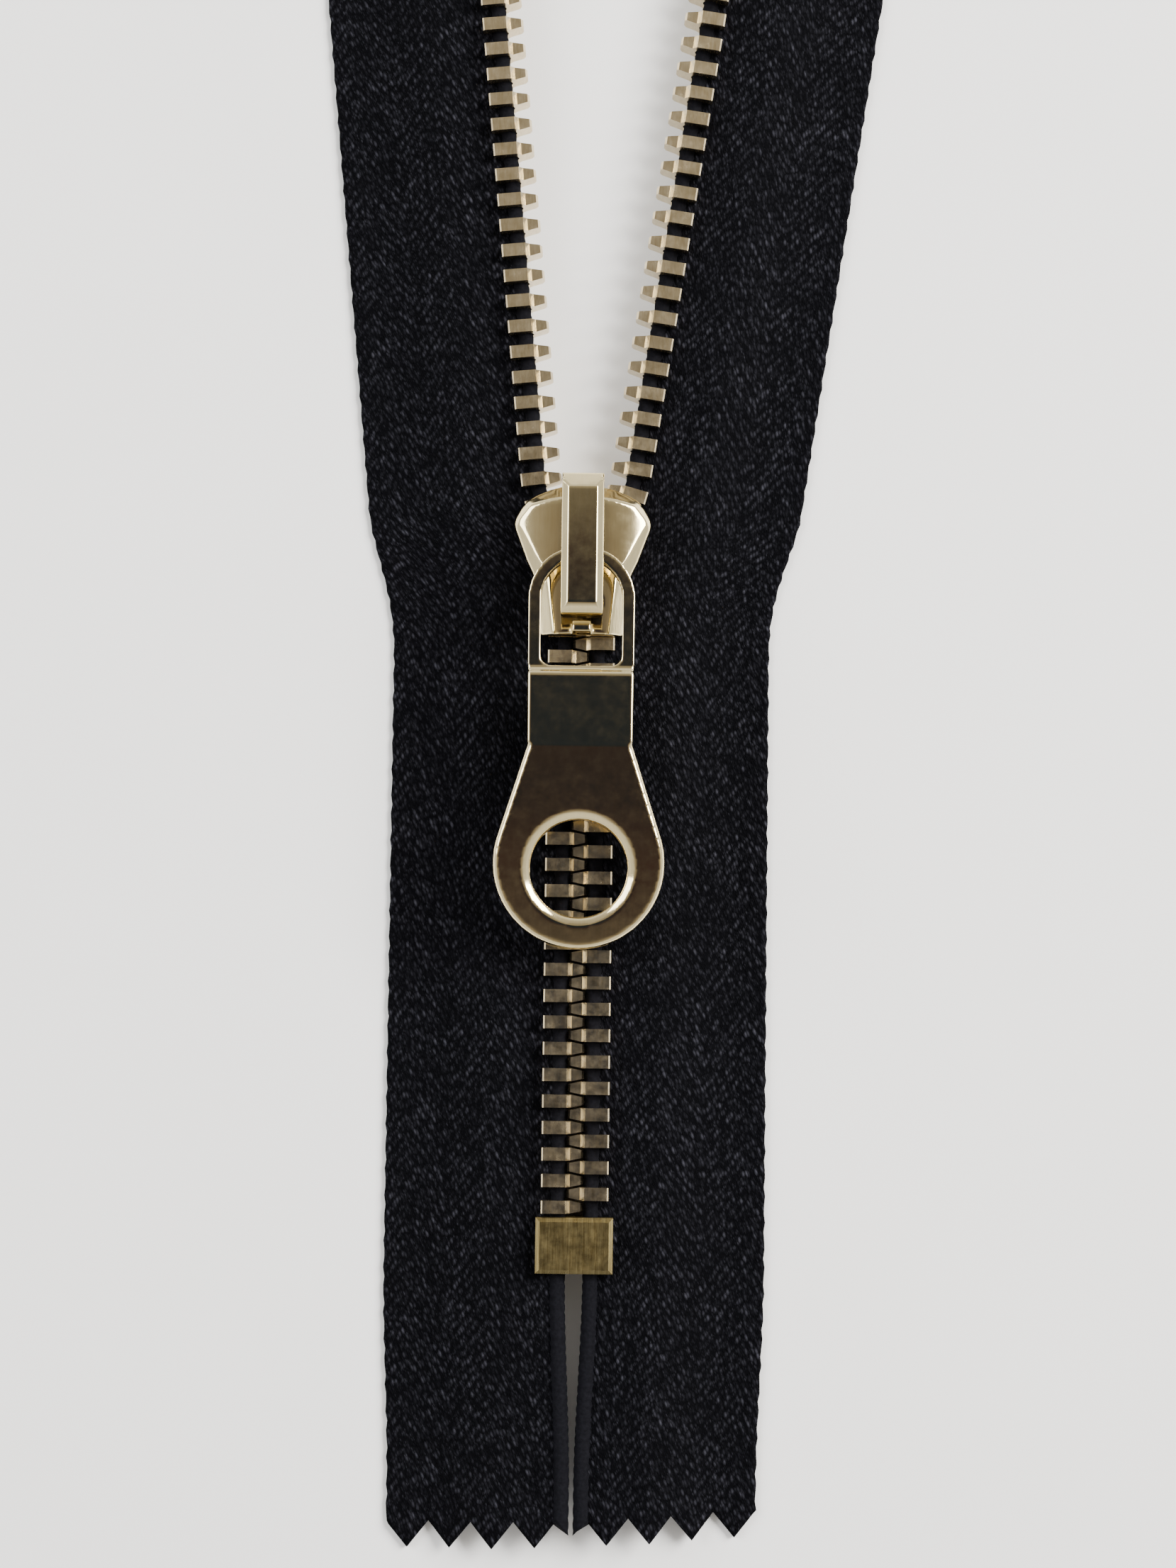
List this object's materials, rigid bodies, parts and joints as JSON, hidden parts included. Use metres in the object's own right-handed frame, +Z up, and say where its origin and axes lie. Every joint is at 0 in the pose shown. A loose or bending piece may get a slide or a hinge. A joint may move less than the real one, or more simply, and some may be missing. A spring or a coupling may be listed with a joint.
{
  "type": "zipper",
  "caption": "Closed-end metal zipper: two corded tapes with clamped teeth, a locking slider and a teardrop puller, half open.",
  "frame": {"origin": "centre of the slider's flat underside, on the surface that the zipper lies on", "axes": "+X across the tapes, +Y along the chain towards the open end, +Z up"},
  "size_m": [0.0635, 0.1985, 0.0094],
  "materials": {
    "tape_cloth": "woven twill, matt",
    "cord_yarn": "matt cord",
    "tooth_metal": "satin champagne",
    "stop_brass": "brushed",
    "polished_gold": "polished",
    "spring_steel": "satin"
  },
  "bodies": {
    "closed_chain": {"left_cord_lower": "cord_yarn", "left_lower_teeth_01": "tooth_metal", "left_lower_teeth_02": "tooth_metal", "left_lower_teeth_03": "tooth_metal", "left_lower_teeth_04": "tooth_metal", "left_lower_teeth_05": "tooth_metal", "left_lower_teeth_06": "tooth_metal", "left_tape_lower": "tape_cloth", "right_cord_lower": "cord_yarn", "right_lower_teeth_01": "tooth_metal", "right_lower_teeth_02": "tooth_metal", "right_lower_teeth_03": "tooth_metal", "right_lower_teeth_04": "tooth_metal", "right_lower_teeth_05": "tooth_metal", "right_lower_teeth_06": "tooth_metal", "right_tape_lower": "tape_cloth", "bottom_stop": "stop_brass"},
    "left_upper": {"left_cord_upper": "cord_yarn", "left_end_stop": "stop_brass", "left_tape_upper": "tape_cloth", "left_upper_teeth_07": "tooth_metal", "left_upper_teeth_08": "tooth_metal", "left_upper_teeth_09": "tooth_metal", "left_upper_teeth_10": "tooth_metal", "left_upper_teeth_11": "tooth_metal", "left_upper_teeth_12": "tooth_metal", "left_upper_teeth_13": "tooth_metal", "left_upper_teeth_14": "tooth_metal", "left_upper_teeth_15": "tooth_metal", "left_upper_teeth_16": "tooth_metal", "left_upper_teeth_17": "tooth_metal"},
    "right_upper": {"right_cord_upper": "cord_yarn", "right_end_stop": "stop_brass", "right_tape_upper": "tape_cloth", "right_upper_teeth_07": "tooth_metal", "right_upper_teeth_08": "tooth_metal", "right_upper_teeth_09": "tooth_metal", "right_upper_teeth_10": "tooth_metal", "right_upper_teeth_11": "tooth_metal", "right_upper_teeth_12": "tooth_metal", "right_upper_teeth_13": "tooth_metal", "right_upper_teeth_14": "tooth_metal", "right_upper_teeth_15": "tooth_metal", "right_upper_teeth_16": "tooth_metal", "right_upper_teeth_17": "tooth_metal"},
    "slider": {"slider_body": "polished_gold", "crown": "polished_gold"},
    "lock_pin": {"lock_pin": "spring_steel"},
    "puller": {"puller": "polished_gold"}
  },
  "joints": [
    {"name": "slider_travel", "type": "slide", "parent": "closed_chain", "child": "slider", "axis": [0, 1, 0], "range_m": [-0.048, 0.086], "deforming": ["left_cord_lower", "left_cord_upper", "left_lower_teeth_01", "left_lower_teeth_02", "left_lower_teeth_03", "left_lower_teeth_04", "left_lower_teeth_05", "left_lower_teeth_06", "left_tape_lower", "left_tape_upper", "left_upper_teeth_07", "left_upper_teeth_08", "left_upper_teeth_09", "left_upper_teeth_10", "left_upper_teeth_11", "left_upper_teeth_12", "left_upper_teeth_13", "left_upper_teeth_14", "left_upper_teeth_15", "left_upper_teeth_16", "left_upper_teeth_17", "right_cord_lower", "right_cord_upper", "right_lower_teeth_01", "right_lower_teeth_02", "right_lower_teeth_03", "right_lower_teeth_04", "right_lower_teeth_05", "right_lower_teeth_06", "right_tape_lower", "right_tape_upper", "right_upper_teeth_07", "right_upper_teeth_08", "right_upper_teeth_09", "right_upper_teeth_10", "right_upper_teeth_11", "right_upper_teeth_12", "right_upper_teeth_13", "right_upper_teeth_14", "right_upper_teeth_15", "right_upper_teeth_16", "right_upper_teeth_17"]},
    {"name": "left_spread", "type": "hinge", "parent": "closed_chain", "child": "left_upper", "pos_m": [0, -0.0189, 0.0025], "axis": [0, 0, 1], "range_deg": [-5.39, 3.03]},
    {"name": "right_spread", "type": "hinge", "parent": "closed_chain", "child": "right_upper", "pos_m": [0, -0.0122, 0.0025], "axis": [0, 0, 1], "range_deg": [-4.66, 8.31]},
    {"name": "puller_swing", "type": "hinge", "parent": "slider", "child": "puller", "pos_m": [0, 0.00032, 0.0073], "axis": [-1, 0, 0], "range_deg": [0, 170]},
    {"name": "lock_lift", "type": "slide", "parent": "slider", "child": "lock_pin", "axis": [0, 0, 1], "range_m": [0, 0.0006], "stiffness_N_per_m": 300}
  ],
  "couplings": [
    {"joint": "left_spread", "follows": "slider_travel", "rad_per_m": -1.0847},
    {"joint": "right_spread", "follows": "slider_travel", "rad_per_m": 1.6763}
  ]
}
